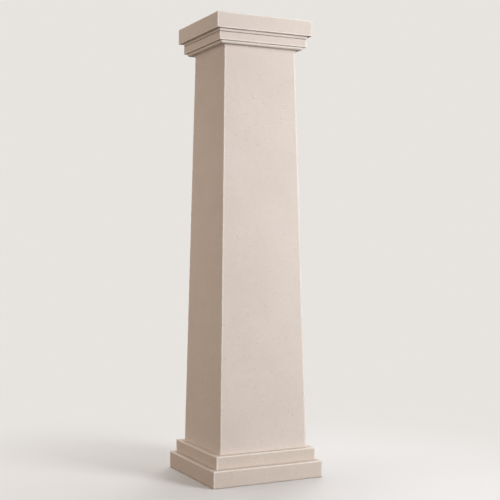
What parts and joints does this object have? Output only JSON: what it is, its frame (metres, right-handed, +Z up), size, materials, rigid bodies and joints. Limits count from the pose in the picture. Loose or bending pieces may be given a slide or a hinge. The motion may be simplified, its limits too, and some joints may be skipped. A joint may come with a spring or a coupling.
{
  "type": "square doric column",
  "caption": "Square tapered doric column in pale cast stone, with a stepped base and a moulded square capital.",
  "frame": {"origin": "centre of the plinth's underside, on the ground", "axes": "+Z up the column; +X and +Y square to the column's sides, which are all alike"},
  "size_m": [0.629, 0.629, 2.438],
  "materials": {
    "cast_stone": "cream cast stone, fine grained and finely pitted, matt"
  },
  "bodies": {
    "root": {"base": "cast_stone", "shaft": "cast_stone", "capital": "cast_stone"}
  },
  "joints": []
}
